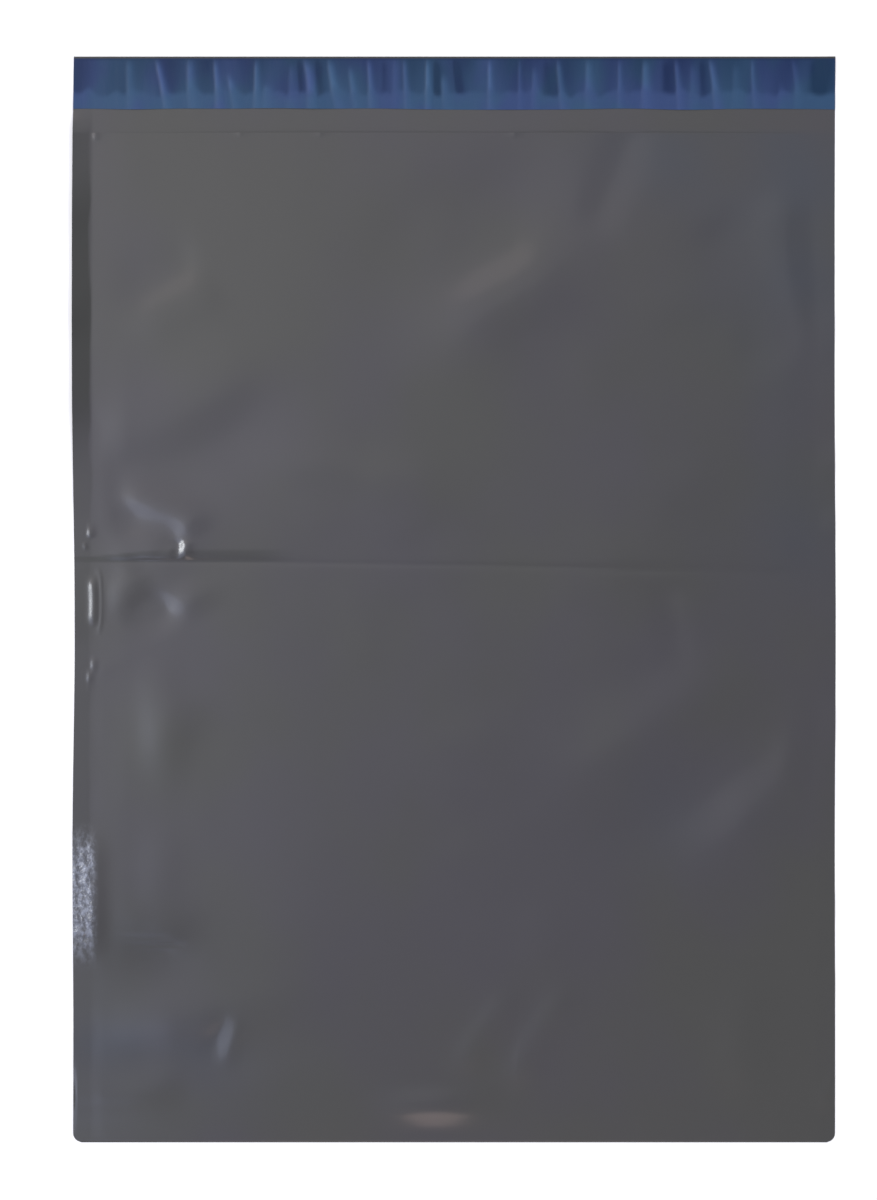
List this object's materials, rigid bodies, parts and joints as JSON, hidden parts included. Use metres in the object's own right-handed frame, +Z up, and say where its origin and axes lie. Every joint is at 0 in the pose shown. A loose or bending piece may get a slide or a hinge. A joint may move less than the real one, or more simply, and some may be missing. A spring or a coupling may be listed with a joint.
{
  "type": "poly mailer bag",
  "caption": "Flat plastic mailing bag: one film folded across the bottom and welded up both sides, with an open pocket and a glued lip under a peel-off liner.",
  "frame": {"origin": "on the surface the bag lies on, under the middle of its outline", "axes": "+X across the bag, +Y from the bottom fold to the free edge of the lip, +Z up through the front panel"},
  "size_m": [0.4, 0.57, 0.006],
  "materials": {
    "film": "satin grey polythene film",
    "glue": "tacky pale hot-melt glue",
    "liner": "satin blue release film"
  },
  "bodies": {
    "root": {"bag_film": "film", "glue_strip": "glue", "release_liner": "liner"}
  },
  "joints": []
}
